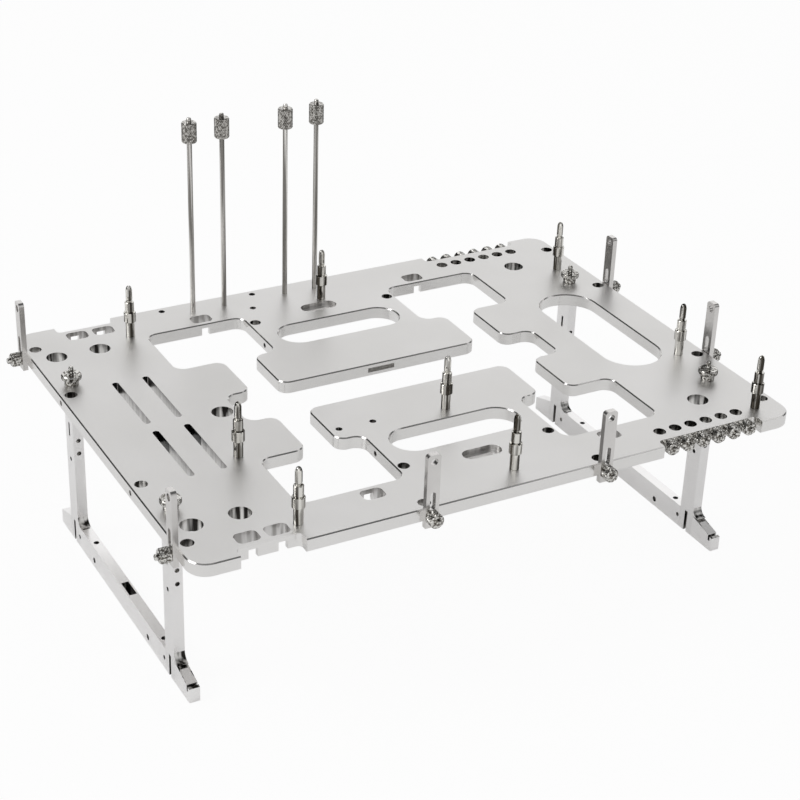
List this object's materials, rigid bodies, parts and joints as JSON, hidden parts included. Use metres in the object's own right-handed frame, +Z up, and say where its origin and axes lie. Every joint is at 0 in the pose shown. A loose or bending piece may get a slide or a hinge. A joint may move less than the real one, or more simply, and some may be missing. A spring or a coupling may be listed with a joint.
{
  "type": "open air test bench",
  "caption": "Silver aluminium open-air test bench for a desktop board, on two low leg frames, with standoffs, card rods, side posts and spare thumb screws.",
  "frame": {"origin": "on the floor, under the middle of the overall box", "axes": "+Z up, +X to the right, +Y to the back, where the card rods stand"},
  "size_m": [0.382, 0.2824, 0.2245],
  "materials": {
    "aluminium": "satin",
    "steel": "polished"
  },
  "bodies": {
    "root": {"tray_plate": "aluminium", "left_foot_rail": "aluminium", "right_foot_rail": "aluminium", "left_rear_leg_post": "aluminium", "left_rear_leg_screw": "steel", "left_front_leg_post": "aluminium", "left_front_leg_screw": "steel", "right_rear_leg_post": "aluminium", "right_rear_leg_screw": "steel", "right_front_leg_post": "aluminium", "right_front_leg_screw": "steel", "standoff_left_rear": "steel", "standoff_left_middle": "steel", "standoff_left_front": "steel", "standoff_centre_rear": "steel", "standoff_centre_middle": "steel", "standoff_centre_front": "steel", "standoff_right_rear": "steel", "standoff_right_middle": "steel", "standoff_right_front": "steel", "side_post_left_rear": "aluminium", "side_post_screw_left_rear": "steel", "side_post_left_front": "aluminium", "side_post_screw_left_front": "steel", "side_post_front_left": "aluminium", "side_post_screw_front_left": "steel", "side_post_front_right": "aluminium", "side_post_screw_front_right": "steel", "side_post_right_front": "aluminium", "side_post_screw_right_front": "steel", "side_post_right_rear": "aluminium", "side_post_screw_right_rear": "steel", "card_rod_1": "steel", "card_rod_nut_1": "steel", "card_rod_2": "steel", "card_rod_nut_2": "steel", "card_rod_3": "steel", "card_rod_nut_3": "steel", "card_rod_4": "steel", "card_rod_nut_4": "steel", "spare_screw_front_1": "steel", "spare_screw_front_2": "steel", "spare_screw_front_3": "steel", "spare_screw_front_4": "steel", "spare_screw_front_5": "steel", "spare_screw_front_6": "steel", "spare_screw_back_1": "steel", "spare_screw_back_2": "steel", "spare_screw_back_3": "steel", "spare_screw_back_4": "steel", "spare_screw_back_5": "steel", "spare_screw_back_6": "steel"}
  },
  "joints": []
}
